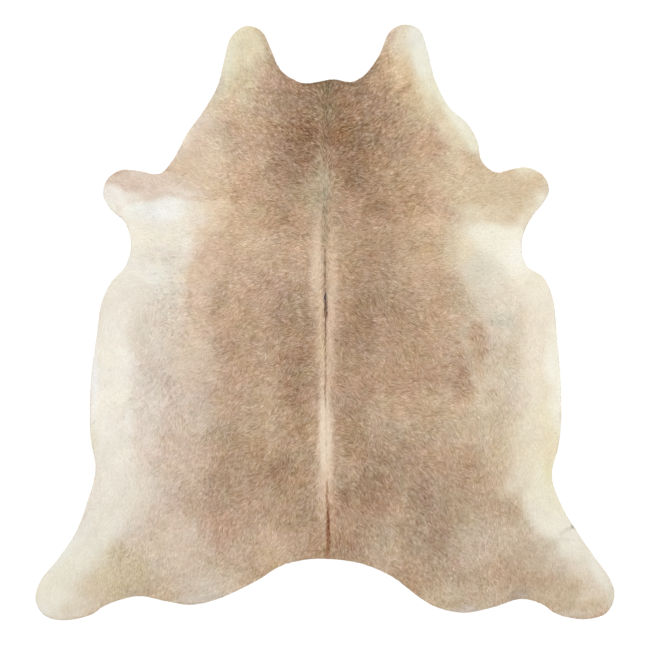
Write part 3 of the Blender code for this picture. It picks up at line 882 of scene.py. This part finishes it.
def coat_piece(name, root, tip, width, rise, color, coat, material):
    """Joins the locks of one band of the coat: each is a closed spike with a crest."""
    count = len(root)
    along = tip - root
    length = np.linalg.norm(along[:, :2], axis=1)
    side = np.stack([along[:, 1], -along[:, 0], np.zeros(count)], axis=1) / length[:, None]
    half = side * (width / 2)[:, None]
    crest = root + CREST_AT * along
    crest[:, 2] += rise + ROOT_SINK
    points = np.stack([root - half, root + half, crest, tip], axis=1) * MM
    corners = np.array((0, 2, 3, 1, 3, 2, 0, 3, 1, 0, 1, 2))
    loops = (corners[None, :] + 4 * np.arange(count)[:, None]).ravel()
    mesh = bpy.data.meshes.new(name)
    mesh.vertices.add(4 * count)
    mesh.vertices.foreach_set("co", points.ravel())
    mesh.loops.add(12 * count)
    mesh.loops.foreach_set("vertex_index", loops)
    mesh.polygons.add(4 * count)
    mesh.polygons.foreach_set("loop_start", np.arange(0, 12 * count, 3))
    mesh.update(calc_edges=True)
    mesh.shade_flat()
    own = np.array(OWN_COLOR_SHARES)[None, :, None]
    hair_color = np.ones((count, 4, 4))
    hair_color[:, :, :3] = linear(own * color[:, None, :] + (1.0 - own) * coat[:, None, :])
    keep_values(mesh, "hair color", "FLOAT_COLOR", "color", hair_color)
    reach = np.tile((0.0, 0.0, CREST_AT, 1.0), count)
    keep_values(mesh, "along the hair", "FLOAT", "value", reach)
    cells = math.ceil(math.sqrt(count))
    lock = np.arange(count)
    place = np.stack([lock % cells, lock // cells], axis=1)[:, None, :]
    corner = np.array(((0.0, 0.0), (1.0, 0.0), (0.5, CREST_AT), (0.5, 1.0)))[corners]
    cell_map = (place + CELL_MARGIN + (1.0 - 2.0 * CELL_MARGIN) * corner[None, :, :]) / cells
    mesh.uv_layers.new(name="OFBake").data.foreach_set("uv", cell_map.ravel())
    mesh.materials.append(material)
    return shown(name, mesh)


def shown(name, data):
    """Puts data in the scene as an object."""
    item = bpy.data.objects.new(name, data)
    bpy.context.scene.collection.objects.link(item)
    return item


def set_inputs(node, values):
    """Sets inputs of a node by their names."""
    for name, value in values.items():
        node.inputs[name].default_value = value


def new_material(name):
    """A material with its nodes, what links them, and its surface."""
    material = bpy.data.materials.new(name)
    material.use_nodes = True
    nodes = material.node_tree.nodes
    return material, nodes, material.node_tree.links.new, nodes["Principled BSDF"]


def kept_value(nodes, name, output):
    """Reads what keep_values has kept."""
    kept = nodes.new("ShaderNodeAttribute")
    kept.attribute_name = name
    return kept.outputs[output]


def grain(nodes, link, scale, detail):
    """Noise that stays on the piece."""
    place = nodes.new("ShaderNodeTexCoord")
    speckle = nodes.new("ShaderNodeTexNoise")
    set_inputs(speckle, {"Scale": scale, "Detail": detail})
    link(place.outputs["Object"], speckle.inputs["Vector"])
    return speckle


def spread(nodes, link, value, low, high, first=0.0, last=1.0):
    """Stretches a value from first to last over the range from low to high."""
    change = nodes.new("ShaderNodeMapRange")
    set_inputs(change, {"From Min": first, "From Max": last, "To Min": low, "To Max": high})
    link(value, change.inputs["Value"])
    return change.outputs["Result"]


def shaded(nodes, link, color, shade):
    """A colour made lighter or darker."""
    tint = nodes.new("ShaderNodeVectorMath")
    tint.operation = "SCALE"
    link(color, tint.inputs[0])
    link(shade, tint.inputs["Scale"])
    return tint.outputs["Vector"]


def hair_material():
    """Hair: a colour of its own for each lock, darker at the root by painted shade, with a soft
    shine.
    """
    material, nodes, link, surface = new_material("cowhide hair")
    along = kept_value(nodes, "along the hair", "Fac")
    speckle = grain(nodes, link, *SPECKLE).outputs["Fac"]
    shade = nodes.new("ShaderNodeMath")
    shade.operation = "MULTIPLY"
    # Painted shade: darker toward the root of each lock
    link(spread(nodes, link, along, *HAIR_PAINTED_SHADE), shade.inputs[0])
    link(spread(nodes, link, speckle, *SPECKLE_SHADE, *NOISE_MIDDLE), shade.inputs[1])
    own = kept_value(nodes, "hair color", "Color")
    link(shaded(nodes, link, own, shade.outputs["Value"]), surface.inputs["Base Color"])
    link(spread(nodes, link, along, *HAIR_ROUGHNESS), surface.inputs["Roughness"])
    set_inputs(surface, {"Specular IOR Level": 0.25, "Sheen Weight": 0.04, "Sheen Roughness": 0.5})
    return material


def skin_material():
    """The skin between the roots: the colour of the coat there, in painted shade."""
    material, nodes, link, surface = new_material("skin under the hair")
    fuzz = grain(nodes, link, *FUZZ).outputs["Fac"]
    # Painted shade: the fuzz of the skin only darkens the coat's colour between the roots
    shade = spread(nodes, link, fuzz, *SKIN_FUZZ_AND_PAINTED_SHADE, *NOISE_MIDDLE)
    own = kept_value(nodes, "skin color", "Color")
    link(shaded(nodes, link, own, shade), surface.inputs["Base Color"])
    set_inputs(surface, {"Roughness": 0.9})
    return material


def suede_material(name, light, dark, scale, roughness):
    """Napped leather with cloudy patches and short fibres."""
    material, nodes, link, surface = new_material(name)
    clouds = grain(nodes, link, scale, CLOUD_DETAIL)
    set_inputs(clouds, {"Roughness": 0.7})
    ramp = nodes.new("ShaderNodeValToRGB")
    for end, place, color in zip(ramp.color_ramp.elements, CLOUD_ENDS, (dark, light)):
        end.position = place
        end.color = (*linear(np.array(color, float)), 1.0)
    link(clouds.outputs["Fac"], ramp.inputs["Fac"])
    link(ramp.outputs["Color"], surface.inputs["Base Color"])
    nap = grain(nodes, link, *NAP).outputs["Fac"]
    rough = spread(nodes, link, nap, roughness - NAP_ROUGHNESS, roughness + NAP_ROUGHNESS)
    link(rough, surface.inputs["Roughness"])
    bump = nodes.new("ShaderNodeBump")
    set_inputs(bump, {"Strength": 0.35, "Distance": 0.0004})
    link(nap, bump.inputs["Height"])
    link(bump.outputs["Normal"], surface.inputs["Normal"])
    return material


def leather_piece(sheet):
    """The leather as an object: suede below, the cut edge, and the skin under the hair."""
    mesh = bpy.data.meshes.new("leather")
    for face in sheet.faces:
        tilt = face.normal.z
        face.material_index = 0 if tilt > FACING else 1 if tilt < -FACING else 2
        face.smooth = abs(tilt) > FACING
    sheet.to_mesh(mesh)
    places = np.empty(3 * len(mesh.vertices))
    mesh.vertices.foreach_get("co", places)
    places = places.reshape(-1, 3) / MM
    color = np.ones((len(places), 4))
    color[:, :3] = linear(coat_color(places[:, 0], places[:, 1]))
    keep_values(mesh, "skin color", "FLOAT_COLOR", "color", color)
    mesh.materials.append(skin_material())
    for name, light, dark, scale, roughness in SUEDES:
        mesh.materials.append(suede_material(name, light, dark, scale, roughness))
    return shown("leather", mesh)


def lay_floor():
    """A plain pale floor."""
    mesh = bpy.data.meshes.new("floor")
    sheet = bmesh.new()
    bmesh.ops.create_grid(sheet, x_segments=1, y_segments=1, size=FLOOR_SIZE / 2)
    bmesh.ops.translate(sheet, verts=sheet.verts[:], vec=(0.0, 0.0, -FLOOR_DROP))
    sheet.to_mesh(mesh)
    sheet.free()
    floor = shown("floor", mesh)
    paint, _, _, surface = new_material("floor paint")
    set_inputs(surface, {"Base Color": FLOOR_PAINT, "Roughness": FLOOR_ROUGHNESS})
    mesh.materials.append(paint)


def light_up():
    """Soft light from all round, and a wide even light from the neck side."""
    world = bpy.data.worlds.new("studio")
    world.use_nodes = True
    nodes = world.node_tree.nodes
    link = world.node_tree.links.new
    toward = nodes.new("ShaderNodeTexCoord")
    parts = nodes.new("ShaderNodeSeparateXYZ")
    link(toward.outputs["Generated"], parts.inputs["Vector"])
    fade = spread(nodes, link, parts.outputs["Z"], HORIZON_LIGHT, SKY_LIGHT, 0.0, SKY_FADE)
    link(fade, nodes["Background"].inputs["Strength"])
    set_inputs(nodes["Background"], {"Color": (1.0, 1.0, 1.0, 1.0)})
    bpy.context.scene.world = world
    light = bpy.data.lights.new("wide light", "SUN")
    light.energy = LIGHT_STRENGTH
    light.angle = math.radians(LIGHT_WIDTH)
    wide_light = shown("wide light", light)
    wide_light.location = LIGHT_FROM
    wide_light.rotation_euler = (-Vector(LIGHT_FROM)).to_track_quat("-Z", "Y").to_euler()


def set_camera():
    """A camera that looks straight down on the hide."""
    lens = bpy.data.cameras.new("camera")
    lens.lens = LENS
    lens.sensor_width = SENSOR
    lens.clip_end = 100.0
    camera = shown("camera", lens)
    camera.location = (0.0, CAMERA_Y, CAMERA_HEIGHT)
    bpy.context.scene.camera = camera
    bpy.context.scene.view_settings.view_transform = "Standard"


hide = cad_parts["hide"]
rim = rim_of(hide)
grid = depth_grid(rim)
sheet = cut_leather(rim, hide)
under_hair = BVHTree.FromBMesh(sheet)
leather = leather_piece(sheet)
sheet.free()
root, tip, width, rise, color, coat_there = lay_locks(rim, grid, under_hair, hide)
hair = hair_material()
above = np.inf
for name, lowest in COAT_BANDS:
    band = (root[:, 1] >= lowest) & (root[:, 1] < above)
    above = lowest
    piece = coat_piece(
        name, root[band], tip[band], width[band], rise[band], color[band], coat_there[band], hair)
    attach(piece, "root")

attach(leather, "root")
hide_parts("hide")
lay_floor()
light_up()
set_camera()
